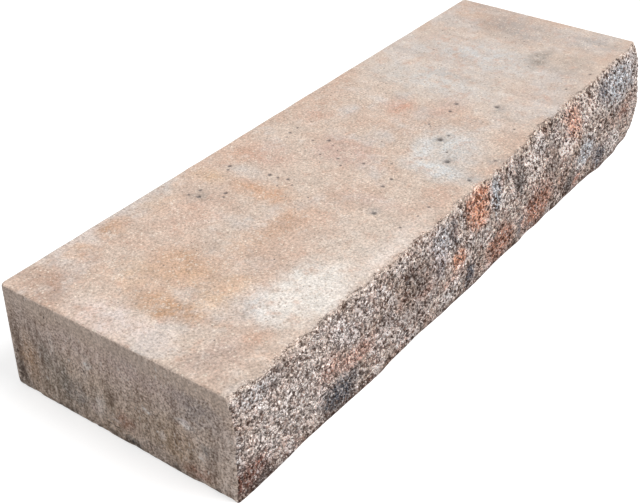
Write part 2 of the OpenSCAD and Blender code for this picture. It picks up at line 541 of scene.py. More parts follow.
def makeMouldLook(values):
    tree, given, out = newGroup("mouldLook", placeOnly, lookOutputs)
    place = given.outputs["Place"]
    wandering = roughen(tree, place, values["wanderScale"], values["wander"])
    clouds = noiseField(tree, wandering, values["cloudScale"], 4.0, 0.6)
    colour = mixColour(tree, ramp(tree, clouds, 0.42, 0.60), values["brownGrey"], values["tan"])
    cold = noiseField(tree, moved(tree, wandering, (1.3, 4.2, 2.2)), values["slateScale"], 4.0, 0.65)
    colour = mixColour(tree, times(tree, ramp(tree, cold, 0.52, 0.66), 0.25), colour, values["slate"])
    breakUp = noiseField(tree, place, values["breakUpScale"], 5.0, 0.75)
    breakUp = ramp(tree, breakUp, 0.35, 0.58, 0.25, 1.15, "LINEAR")
    colour = layPatches(tree, colour, wandering, mouldPatches, endFace, breakUp)
    height = axisOf(tree, wandering, 2)
    # drag marks left by the mould, upright with a slight lean, calmer near the tread
    lean = (math.radians(values["lean"]), math.radians(values["lean"]), 0)
    leaning = stretched(tree, place, (1.0, 1.0, values["streakLength"]), lean)
    streaks = noiseField(tree, leaning, values["streakScale"], 4.0, 0.65)
    long = stretched(tree, place, (1.0, 1.0, values["broadLength"]), lean)
    broad = noiseField(tree, long, values["broadScale"], 3.0, 0.6)
    calm = ramp(tree, height, 0.085, 0.155, 1.0, 0.3)
    colour = mixColour(tree, ramp(tree, height, 0.130, 0.156, 0.0, 0.75), colour, values["laitance"])
    strand = ramp(tree, streaks, 0.32, 0.68, 0.73, 1.26)
    strand = mixValue(tree, calm, 1.0, strand)
    mottle = noiseField(tree, place, values["mottleScale"], 5.0, 0.72)
    grain = sandOn(tree, place, values["sandScale"], values["sandContrast"])
    smooth = ramp(tree, height, 0.125, 0.155, 1.0, 0.55)
    shade = times(tree, strand, mixValue(tree, smooth, 1.0, around(tree, mottle, values["mottle"])))
    shade = times(tree, shade, mixValue(tree, calm, 1.0, around(tree, broad, 1.5)))
    shade = times(tree, shade, mixValue(tree, smooth, 1.0, grain.outputs["Shade"]))
    shaded = darkenWarmly(tree, colour, shade, values["shadeTint"])
    shaded = mixColour(tree, ramp(tree, shade, 1.15, 1.9, 0.0, 0.7), shaded, values["fleck"])
    flecks = poreMask(tree, moved(tree, leaning, (0.2, 0.5, 0.1)), values["fleckSpacing"], 0.30, 0.5)
    grouped = noiseField(tree, moved(tree, place, (0.9, 0.3, 0.6)), 24.0, 3.0, 0.6)
    grouped = ramp(tree, grouped, 0.45, 0.62, 0.20, 1.0)
    shaded = mixColour(tree, times(tree, flecks, grouped), shaded, values["fleck"])
    shaded = layPatches(tree, shaded, roughen(tree, place, 240.0, 0.005), mouldMarks, endFace)
    # painted shade in the pinholes and among the open grains along the bottom edge
    holes = poreMask(tree, place, values["holeSpacing"], 0.30, 0.45)
    foot = ramp(tree, height, 0.001, 0.016, 1.0, 0.0)
    crumbs = ramp(tree, noiseField(tree, place, 70.0, 5.0, 0.75), 0.5, 0.58)
    dark = larger(tree, times(tree, holes, times(tree, calm, 0.7)),
                  times(tree, times(tree, foot, crumbs), 0.8))
    plug(tree, mixColour(tree, dark, shaded, values["holeShadeColour"]), out.inputs["Colour"])
    plug(tree, ramp(tree, mottle, 0.3, 0.7, 0.8, 0.95), out.inputs["Roughness"])
    relief = calc(tree, "ADD", times(tree, strand, 1.6), times(tree, grain.outputs["Height"], 0.9))
    plug(tree, calc(tree, "ADD", relief, times(tree, mottle, 1.5)), out.inputs["Height"])
    return tree


# rock-split face

splitFinish = {
    "tan": paint(223, 207, 198),
    "brown": paint(187, 167, 154),
    "cream": paint(240, 230, 227),
    "peach": paint(223, 184, 168),
    "shadeTint": paint(255, 214, 192),
    "paleGrain": paint(240, 231, 227),
    # the tread's tan over the broken edge, partly painted light
    "edgeTanAndLight": paint(226, 206, 192),
    "wanderScale": 34.0,
    "wander": 0.03,
    "cloudScale": 15.0,
    "paleScale": 22.0,
    "warmScale": 48.0,
    "breakUpScale": 110.0,
    "speckleScale": 300.0,
    "whiteSpacing": 0.0044,
    "wideSpacing": 0.0062,  # of the dots of painted pit shade
    "smallSpacing": 0.0038,
    "gapScale": 300.0,
    "stoneSize": 0.0046,
    "crumbSize": 0.0019,
    "cobbleSize": 0.0080,
    "sandScale": 900.0,
    "sandContrast": 0.5,
    # painted shade in the pits, gaps, joints and hollows
    "hollowShadeColour": paint(50, 28, 18),
}
orange, darkBrown, navy = (228, 164, 132), (128, 106, 94), (68, 78, 94)
paleBlue, pink, rustBrown = (207, 213, 221), (228, 186, 170), (124, 76, 58)
paleCream = (238, 229, 225)
splitPatches = [
    # x, z, reach along x and z, and so on
    (-560, 145, 60, 25, (232, 230, 232), 0.85),
    (-500, 85, 120, 60, paleCream, 0.75),
    (-220, 50, 80, 30, paleCream, 0.6),
    (-120, 25, 50, 25, (224, 222, 222), 0.6),
    (155, 130, 45, 25, paleCream, 0.6),
    (460, 25, 45, 20, paleCream, 1.2, 0.8),
    (400, 105, 50, 20, (226, 210, 200), 0.6),
    (-360, 70, 50, 20, pink, 1.3, 0.8),
    (-420, 85, 40, 30, pink, 0.8),
    (-195, 75, 30, 14, pink, 1.1, 0.8),
    (-120, 50, 30, 14, pink, 0.8, 0.8),
    (-280, 95, 50, 20, darkBrown, 0.35),
    (-295, 80, 20, 20, (112, 86, 76), 0.8),
    (-210, 65, 80, 50, darkBrown, 0.55),
    (-40, 85, 50, 20, darkBrown, 0.4),
    (-360, 120, 70, 25, (236, 226, 224), 0.6),
    (-200, 105, 50, 30, darkBrown, 0.75),
    (-225, 120, 25, 18, (96, 84, 80), 0.7),
    (-160, 80, 25, 10, darkBrown, 0.8),
    (100, 120, 26, 34, (84, 74, 70), 1.3, 0.8),
    (420, 80, 50, 20, darkBrown, 0.55),
    (20, 68, 20, 14, darkBrown, 0.85),
    (215, 95, 30, 40, darkBrown, 0.9),
    (250, 45, 50, 40, (136, 106, 90), 0.7),
    (285, 25, 20, 28, (74, 66, 62), 1.1, 0.8),
    (-35, 138, 42, 42, (240, 170, 136), 1.35, 0.6),
    (-97, 76, 22, 20, orange, 1.2, 0.6),
    (35, 34, 58, 40, (186, 132, 108), 1.3, 0.8),
    (165, 38, 60, 48, (180, 126, 102), 1.35, 0.8),
    (305, 130, 36, 34, (232, 178, 154), 1.2, 0.8),
    (315, 20, 20, 20, (190, 120, 92), 0.8, 0.8),
    (510, 75, 60, 18, (154, 112, 96), 0.9),
    (500, 45, 40, 12, darkBrown, 0.6),
    (-590, 30, 50, 28, rustBrown, 1.2, 0.6),
    (-560, 12, 30, 18, (66, 50, 44), 0.95, 0.7),
    (-400, 30, 50, 32, (70, 77, 88), 1.2, 0.7),
    (-150, 115, 35, 45, (228, 219, 222), 0.8),
    (-135, 130, 26, 30, paleBlue, 0.7, 0.8),
    (-108, 125, 12, 40, navy, 0.8, 0.8),
    (-150, 90, 20, 20, navy, 0.5),
    (20, 125, 18, 40, paleBlue, 1.2, 0.8),
    (500, 130, 100, 40, paleBlue, 1, 0.7),
    (430, 140, 25, 18, navy, 0.8, 0.8),
    (560, 110, 30, 20, navy, 0.4),
    (340, 60, 42, 28, paleBlue, 1, 0.8),
    (400, 30, 36, 30, navy, 1, 0.8),
    (-62, 30, 20, 28, navy, 1, 0.8),
    (105, 30, 12, 30, (72, 72, 78), 0.95, 0.8),
]


def makeSplitTint(values):
    # the broad colours of the broken face, shared by the paste and the loose grit in it
    tree, given, out = newGroup("splitTint", placeOnly, {"Colour": "Color"})
    place = given.outputs["Place"]
    wandering = roughen(tree, place, values["wanderScale"], values["wander"])
    clouds = noiseField(tree, wandering, values["cloudScale"], 5.0, 0.68)
    colour = mixColour(tree, ramp(tree, clouds, 0.42, 0.58), values["tan"], values["brown"])
    pale = noiseField(tree, moved(tree, wandering, (5.3, 0.2, 1.9)), values["paleScale"], 5.0, 0.68)
    colour = mixColour(tree, times(tree, ramp(tree, pale, 0.48, 0.62), 0.8), colour, values["cream"])
    warm = noiseField(tree, moved(tree, place, (2.2, 0.6, 4.1)), values["warmScale"], 5.0, 0.72)
    colour = mixColour(tree, ramp(tree, warm, 0.50, 0.64, 0.0, 0.50), colour, values["peach"])
    breakUp = noiseField(tree, place, values["breakUpScale"], 4.0, 0.75)
    breakUp = ramp(tree, breakUp, 0.35, 0.58, 0.50, 1.15, "LINEAR")
    speckles = noiseField(tree, place, values["speckleScale"], 2.0, 0.6)
    breakUp = times(tree, breakUp, ramp(tree, speckles, 0.40, 0.54, 0.45, 1.15, "LINEAR"))
    colour = layPatches(tree, colour, wandering, splitPatches, splitFace, breakUp)
    # pale grains show through every stain
    whites = poreMask(tree, moved(tree, place, (0.4, 0.8, 0.1)), values["whiteSpacing"], 0.42, 0.42)
    colour = mixColour(tree, times(tree, whites, 0.5), colour, values["paleGrain"])
    plug(tree, colour, out.inputs["Colour"])
    return tree


splitTint = makeSplitTint(splitFinish)


def makeSplitLook(values):
    tree, given, out = newGroup("splitLook", placeOnly, lookOutputs)
    place = given.outputs["Place"]
    colour = useGroup(tree, splitTint, {"Place": place}).outputs[0]
    stones = useGroup(tree, aggregate, {"Place": place, "Size": values["stoneSize"]})
    crumbs = useGroup(tree, aggregate, {"Place": moved(tree, place, (0.2, 0.4, 0.6)),
                                        "Size": values["crumbSize"]})
    grain = sandOn(tree, place, values["sandScale"], values["sandContrast"])
    height = axisOf(tree, place, 2)
    # paler towards the tread: its tan carried over the edge, and painted light lifting the shade under
    # the bitten edge
    edge = ramp(tree, height, 0.148, 0.165, 0.0, 0.75)
    colour = mixColour(tree, edge, colour, values["edgeTanAndLight"])
    tone = newNode(tree, "ShaderNodeFloatCurve", {"Value": stones.outputs["Tone"]})
    curve = tone.mapping.curves[0]
    curve.points[0].location, curve.points[1].location = (0.0, 0.10), (1.0, 1.0)
    for spot in ((0.18, 0.20), (0.34, 0.56), (0.75, 0.79)):
        curve.points.new(*spot)
    tone.mapping.update()
    # fine sand rules near the -X end, larger stones show in the middle
    along = axisOf(tree, place, 0)
    near = ramp(tree, along, -0.45, -0.20, 1.0, 0.0)
    coarse = times(tree, tone.outputs[0], 2.75)
    coarse = mixValue(tree, times(tree, near, 0.25), coarse, 1.62)
    fine = mixValue(tree, near, ramp(tree, crumbs.outputs["Tone"], 0.0, 1.0, 0.62, 1.38, "LINEAR"),
                    ramp(tree, crumbs.outputs["Tone"], 0.0, 1.0, 0.20, 1.80, "LINEAR"))
    shade = times(tree, times(tree, coarse, fine), grain.outputs["Shade"])
    cobbles = useGroup(tree, aggregate, {
        "Place": moved(tree, place, (0.5, 0.1, 0.3)), "Size": values["cobbleSize"]})
    middle = times(tree, ramp(tree, along, -0.30, -0.06), ramp(tree, along, 0.25, 0.50, 1.0, 0.3))
    shade = times(tree, shade, mixValue(tree, middle, 1.0, around(tree, cobbles.outputs["Tone"], 0.80)))
    # darker towards the bed: painted shade along the foot
    shade = times(tree, shade, ramp(tree, height, 0.0, 0.018, 0.42, 1.0))
    shaded = darkenWarmly(tree, colour, shade, values["shadeTint"])
    shaded = mixColour(tree, ramp(tree, shade, 1.1, 2.4, 0.0, 0.2), shaded, values["paleGrain"])
    # painted shade: dark dots for pits, short winding gaps between the grains, the stones' joints and the
    # relief's hollows
    drawn = stretched(tree, place, (0.72, 1.0, 1.0))
    wide = poreMask(tree, drawn, values["wideSpacing"], 0.40, 0.75)
    wide = times(tree, wide, mixValue(tree, near, 1.0, 0.8))
    small = poreMask(tree, moved(tree, drawn, (0.31, 0.12, 0.27)), values["smallSpacing"], 0.40,
                     mixValue(tree, near, 0.55, 0.8))
    gaps = ramp(tree, noiseField(tree, drawn, values["gapScale"], 3.0, 0.75), 0.36, 0.44, 1.0, 0.0)
    gaps = times(tree, gaps, ramp(tree, height, 0.155, 0.165, 1.0, 0.2))
    hollowShade = storedShare(tree, "hollowShadeShare")
    joints = larger(tree, times(tree, stones.outputs["Joint"], 0.45),
                    times(tree, crumbs.outputs["Joint"], 0.15))
    shadedHollows = larger(tree, larger(tree, wide, times(tree, small, 0.85)),
                  larger(tree, gaps, times(tree, ramp(tree, hollowShade, 0.55, 0.95), 0.8)))
    shadedHollows = times(tree, larger(tree, shadedHollows, joints), ramp(tree, height, 0.156, 0.165, 1.0, 0.6))
    shaded = mixColour(tree, times(tree, shadedHollows, 0.96), shaded, values["hollowShadeColour"])
    plug(tree, shaded, out.inputs["Colour"])
    plug(tree, ramp(tree, shade, 0.6, 1.4, 0.95, 0.75), out.inputs["Roughness"])
    relief = calc(tree, "MULTIPLY_ADD", stones.outputs["Dome"], 2.6, crumbs.outputs["Dome"])
    relief = calc(tree, "MULTIPLY_ADD", grain.outputs["Height"], 0.4, relief)
    plug(tree, calc(tree, "MULTIPLY_ADD", shadedHollows, -2.2, relief), out.inputs["Height"])
    return tree


def newMaterial(name, shine):
    material = bpy.data.materials.new(name)
    material.use_nodes = True
    shader = material.node_tree.nodes["Principled BSDF"]
    shader.inputs["Specular IOR Level"].default_value = shine
    return material, material.node_tree, shader


def dress(tree, shader, values, colour, roughness, height):
    bump = newNode(tree, "ShaderNodeBump", {
        "Strength": values["bumpStrength"], "Distance": values["bumpDepth"], "Height": height})
    plug(tree, colour, shader.inputs["Base Color"])
    plug(tree, roughness, shader.inputs["Roughness"])
    plug(tree, bump.outputs["Normal"], shader.inputs["Normal"])


def raggedMask(tree, share, ragged, spread, low, high):
    # a stored share with a ragged border
    level = calc(tree, "MULTIPLY_ADD", calc(tree, "SUBTRACT", ragged, 0.5), spread, share)
    return ramp(tree, level, low, high)


castFinish = {
    "shine": 0.25,
    "bumpStrength": 0.9,
    "bumpDepth": 0.0006,
    "borderScale": 210.0,  # ragged borders between the faces
}


def makeCastConcrete(values):
    material, tree, shader = newMaterial("castConcrete", values["shine"])
    place = newNode(tree, "ShaderNodeTexCoord").outputs["Object"]
    tread = useGroup(tree, makeTreadLook(treadFinish), {"Place": place})
    mould = useGroup(tree, makeMouldLook(mouldFinish), {"Place": place})
    split = useGroup(tree, makeSplitLook(splitFinish), {"Place": place})
    treadShare = storedShare(tree, "treadShare")
    splitShare = storedShare(tree, "splitShare")
    ragged = noiseField(tree, place, values["borderScale"], 4.0, 0.75)
    splitMask = raggedMask(tree, splitShare, ragged, 1.8, 0.40, 0.60)
    treadMask = raggedMask(tree, treadShare, ragged, 0.8, 0.3, 0.8)
    mixed = []
    for name, mix in (("Colour", mixColour), ("Roughness", mixValue), ("Height", mixValue)):
        flat = mix(tree, treadMask, mould.outputs[name], tread.outputs[name])
        mixed.append(mix(tree, splitMask, flat, split.outputs[name]))
    colour, rough, height = mixed
    dress(tree, shader, values, colour, rough, height)
    return material


gritFinish = {
    "shine": 0.3,
    "bumpStrength": 0.6,
    "bumpDepth": 0.0004,
    "dark": paint(56, 38, 30),
    "brown": paint(144, 116, 100),
    "sand": paint(226, 211, 205),
    "white": paint(250, 245, 244),
}


def makeExposedGrit(values):
    material, tree, shader = newMaterial("exposedGrit", values["shine"])
    place = newNode(tree, "ShaderNodeTexCoord").outputs["Object"]
    tone = storedShare(tree, "stoneTone")
    tint = useGroup(tree, splitTint, {"Place": place}).outputs[0]
    steps = newNode(tree, "ShaderNodeValToRGB", {"Fac": tone})
    band = steps.color_ramp
    band.elements[0].position, band.elements[0].color = 0.0, values["dark"]
    band.elements[1].position, band.elements[1].color = 1.0, values["white"]
    for position, name in ((0.20, "dark"), (0.32, "brown"), (0.50, "sand"), (0.82, "white")):
        band.elements.new(position).color = values[name]
    stained = mixColour(tree, 1.0, steps.outputs[0], tint, "MULTIPLY")
    colour = mixColour(tree, ramp(tree, tone, 0.5, 0.95, 0.85, 0.6), steps.outputs[0], stained)
    colour = mixColour(tree, 0.20, colour, tint)
    grain = sandOn(tree, place, splitFinish["sandScale"], splitFinish["sandContrast"])
    dress(tree, shader, values, darken(tree, colour, grain.outputs["Shade"]),
          ramp(tree, tone, 0.0, 1.0, 0.7, 0.9), grain.outputs["Height"])
    return material


castConcrete = makeCastConcrete(castFinish)
exposedGrit = makeExposedGrit(gritFinish)
print("materials made")


# block: a fine skin laid over the solid

blockForm = {
    "splitStep": 0.00175,  # spacing on the broken face
    "nearStep": 0.006,  # along the -X end
    "farStep": 0.015,
    "backStep": 0.03,
    "frontCorner": 0.012,
    "backCorner": 0.010,
    "frontTurns": (11, 22, 34, 45, 56, 68, 79),  # degrees
    "frontShares": (1, 1, 1, 0.5, 0, 0, 0),  # how much of the break shows at each
    "backTurns": (15, 30, 45, 60, 75),
    "bedRows": (0, 0.0004, 0.001, 0.0018),  # heights up from the bed
    "treadRows": (0.002, 0.0011, 0.0005, 0.00015, 0),  # and down from the tread
    "rowMargin": 0.003,
    "rayMargin": 0.00005,
    "raysFrom": {"front": -0.4, "back": 0.5, "end": 0.8, "corner": 0.06},
    "brokenFrom": 0.4,  # share of the break from which a spot counts as broken
    "treadBand": (0.012, 0.0012, 0.0008),  # how far down the tread's look goes: break, rim, full
    "arrisBelow": (0, 0.004, 0.012),  # how far down, and what share of the break shows there
    "arrisShare": (0.50, 0.66, 1.0),
    "edgeLip": (0.0024, 0.003),  # sharpens the broken tread edge: depth, height
    "edgeLean": (0.0075, 0.035),  # brings the top of the break forward
    "leanTaper": 0.06,  # towards the ends
    "edgeJitter": ((0.0012, 230, 2), (0.0008, 520, 7)),  # depth, how often, which noise
    "jitterReach": 0.006,
    "biteSize": (0.007, 0.034),  # half width of the scoops out of that edge
    "biteDepth": (0.0010, 0.0085),
    "biteHeight": (0.004, 0.020),
    "leastBite": 0.0005,
    "biteSpacing": (0.006, 0.020),
    "edgeWear": (0.0010, 0.005),
    "footCrumble": (0.0022, 0.011),
    "treadGrid": 0.022,
    "treadInset": 0.008,
    "bedGrid": 0.044,
    "bedInset": 0.006,
    "bedFieldInset": 0.02,
    # inset and share of the break
    "treadRims": ((0.0025, 0.45), (0.0055, 0.28), (0.0095, 0.12), (0.0145, 0.0)),
    "rimNarrow": 0.25,
    "rimTaper": 0.03,
    "pitRings": ((0.6, 0.42, 1.0), (1.0, 0.08, 0.4), (1.5, 0.0, 0.0)),  # radius, depth, share of painted pit shade
    "pitDepth": 0.55,  # in the middle, of its radius
    "pitSides": 9,
    "pitClear": 1.9,  # radii round a pit without other corners
    "pitSwell": 1.15,
    "finePits": 110,
    "finePitRadius": (0.0006, 0.0015),
    "finePitArea": ((-0.59, 0.59), (-0.155, 0.19)),
    "pitsApart": 0.012,
    "seed": 4,
}
treadPits = [
    # x, y, radius in millimetres
    (-200, 155, 3), (-295, 135, 3.5), (-280, 145, 2.5), (-265, 110, 3), (-185, 90, 3), (-180, 60, 2.5),
    (-45, 80, 3), (-85, 35, 2), (-75, -5, 2.5), (155, -25, 3), (185, -20, 3.5), (60, -60, 5),
    (-115, -65, 3), (-90, -65, 2.5), (-50, -40, 2), (215, -80, 4), (5, -105, 4), (-185, -95, 3.5),
    (425, -155, 3.5), (-195, -145, 2), (-60, 145, 2.5), (-40, 145, 2), (95, -20, 2), (80, -65, 2.5),
    (50, -165, 3), (-25, -160, 3), (-300, 150, 2), (-275, 105, 2), (-185, 75, 2), (-190, 45, 1.5),
    (-90, 65, 2), (-60, 100, 2), (-55, 65, 1.5), (-100, 20, 2), (-205, 5, 1.5), (0, 10, 1.5),
    (90, -25, 1.5), (-125, -150, 2), (-155, -150, 1.5), (160, -140, 2), (345, -145, 2), (235, -160, 2),
    (-10, 140, 1.5), (-75, 140, 1.5), (-210, 150, 2), (-95, 90, 1.5), (-65, 50, 1.5), (30, -90, 2),
]


def solidTree(node):
    mesh = node.data
    corners = [v.co.copy() for v in mesh.vertices]
    return BVHTree.FromPolygons(corners, [tuple(p.vertices) for p in mesh.polygons])


def evenSteps(start, end, step):
    count = max(2, round(abs(end - start) / step) + 1)
    return np.linspace(start, end, count)


def smoothed(grid, passes=2, reach=2):
    # running mean both ways, edges kept
    width = 2 * reach + 1
    for _ in range(passes):
        for axis in (0, 1):
            padded = np.concatenate([np.repeat(grid.take([0], axis), reach, axis), grid,
                                     np.repeat(grid.take([-1], axis), reach, axis)], axis)
            size = grid.shape[axis]
            grid = sum(padded.take(range(k, k + size), axis) for k in range(width)) / width
    return grid


def wander(along, scale, seed):
    # one-dimensional noise from -1 to 1
    return noise.noise(Vector((along * scale, seed * 7.3, 0.5)))


def makeSkin(node, values):
    tree = solidTree(node)
    high = Vector(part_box("block_step")[1])
    halfX, halfY, top = high.x, high.y, high.z

    def hit(origin, direction):
        place = tree.ray_cast(Vector(origin), Vector(direction))[0]
        if place is None:
            raise RuntimeError(f"no surface seen from {origin}")
        return place

    middle = evenSteps(values["rowMargin"], top - values["rowMargin"], values["splitStep"])
    heights = np.concatenate([values["bedRows"], middle, top - np.array(values["treadRows"])])
    rayHeights = np.clip(heights, values["rayMargin"], top - values["rayMargin"])

    reach, backReach, start = values["frontCorner"], values["backCorner"], values["raysFrom"]
    frontX = evenSteps(-halfX + reach, halfX - reach, values["splitStep"])
    frontY = np.array([[hit((x, start["front"], z), (0, 1, 0)).y for x in frontX] for z in rayHeights])
    frontY = smoothed(frontY, reach=3)
    endLength = halfY - backReach - frontY.min() - reach
    endCounts = {1: round(endLength / values["farStep"]), -1: round(endLength / values["nearStep"])}
    backX = evenSteps(halfX - backReach, -halfX + backReach, values["backStep"])

    def corner(centre, way):
        return hit(centre + way * start["corner"], -way), (way.x, way.y)

    def endPart(side, edgeY, z):
        # one end with its two corners, from the break to the back: place, facing, share, name
        name = "farEnd" if side > 0 else "nearEnd"
        part = []
        frontCentre = Vector((side * (halfX - reach), edgeY, z))
        for degrees, share in zip(values["frontTurns"], values["frontShares"]):
            turn = math.radians(degrees)
            way = Vector((side * math.sin(turn), -math.cos(turn), 0))
            part.append((*corner(frontCentre, way), share, "split" if share > 0 else name))
        for y in np.linspace(edgeY, halfY - backReach, endCounts[side]):
            part.append((hit((side * start["end"], y, z), (-side, 0, 0)), (side, 0), 0.0, name))
        backCentre = Vector((side * (halfX - backReach), halfY - backReach, z))
        for degrees in values["backTurns"]:
            turn = math.radians(degrees)
            way = Vector((side * math.cos(turn), math.sin(turn), 0))
            part.append((*corner(backCentre, way), 0.0, name if degrees < 45 else "back"))
        return part

    loops, outward, splitShare = [], [], []
    for k, z in enumerate(rayHeights):
        row = [((x, frontY[k, c]), (0, -1), 1.0, "split") for c, x in enumerate(frontX)]
        row += endPart(1, frontY[k, -1] + reach, z)
        row += [(hit((x, start["back"], z), (0, -1, 0)), (0, 1), 0.0, "back") for x in backX]
        row += reversed(endPart(-1, frontY[k, 0] + reach, z))
        loops.append([(place[0], place[1], heights[k]) for place, _, _, _ in row])
        outward.append([facing for _, facing, _, _ in row])
        splitShare.append([share for _, _, share, _ in row])
    region = [name for _, _, _, name in row]
    # the arris itself is broken less deeply than the face
    arris = np.interp(top - heights, values["arrisBelow"], values["arrisShare"])
    return np.array(loops), np.array(outward), np.array(splitShare) * arris[:, None], region, heights, top


def edgeBites(values, halfX):
    # scoops broken out of the tread edge: middle, half width, depth, height
    rng = random.Random(values["seed"] + 20)
    bites, x = [], -halfX
    while x < halfX:
        size = rng.random() ** 1.2

        def between(name):
            low, high = values[name]
            return low + (high - low) * size * rng.uniform(0.7, 1.0)

        bites.append((x, between("biteSize"), between("biteDepth"), between("biteHeight")))
        x += rng.uniform(*values["biteSpacing"])
    return bites


def wearSkin(grid, outward, splitShare, heights, top, values):
    # bites, worn edges and a crumbled foot
    rows, count = grid.shape[:2]
    seed = values["seed"]
    below = (top - heights)[:, None]
    steps = np.linalg.norm(np.roll(grid[0], -1, axis=0) - grid[0], axis=1)
    along = np.concatenate([[0], np.cumsum(steps)[:-1]])
    broken = splitShare[rows // 2] > values["brokenFrom"]

    def near(height):
        # 1 at the tread, 0 this far below it
        return np.clip(1 - below / height, 0, 1)

    def wanderOn(scale, part):
        return np.array([wander(s, scale, seed + part) for s in along])

    bitten = np.zeros((rows, count))
    x = grid[rows // 2, :, 0][None, :]
    for middle, half, depth, height in edgeBites(values, x.max()):
        across = np.clip(1 - ((x - middle) / half) ** 2, 0, 1)
        down = np.clip(1 - below / (height * np.sqrt(across) + values["leastBite"]), 0, 1)
        bitten = np.maximum(bitten, depth * across * down ** 1.4)
    (lip, lipReach), (lean, leanReach) = values["edgeLip"], values["edgeLean"]
    (wear, wearReach), (crumble, footReach) = values["edgeWear"], values["footCrumble"]
    lip = lip * near(lipReach) ** 4
    jitter = sum(depth * wanderOn(often, part) for depth, often, part in values["edgeJitter"])
    jitter = jitter * near(values["jitterReach"])
    lean = lean * near(leanReach) ** 1.5 * np.clip((x.max() - np.abs(x)) / values["leanTaper"], 0, 1)
    front = bitten - lip - lean + jitter

    wear = wear * (0.35 + 0.65 * wanderOn(40, 3) + 0.5 * wanderOn(170, 4))
    worn = np.maximum(0, wear) * near(wearReach)
    crumble = crumble * (0.2 + np.maximum(0.0, wanderOn(30, 5) + 0.5 * wanderOn(120, 6)))
    crumble = crumble * np.where(broken, 0.0, 1.0)
    foot = np.clip(1 - heights[:, None] / footReach, 0, 1)

    inward = np.where(broken[None, :], front, worn) + crumble * 0.7 * foot
    grid[:, :, :2] -= outward * inward[:, :, None]
    grid[:, :, 2] += crumble * foot ** 2
    grid[:-1, :, 2] -= np.where(broken[None, :], 0.0, 0.4 * worn)[:-1]
    return grid


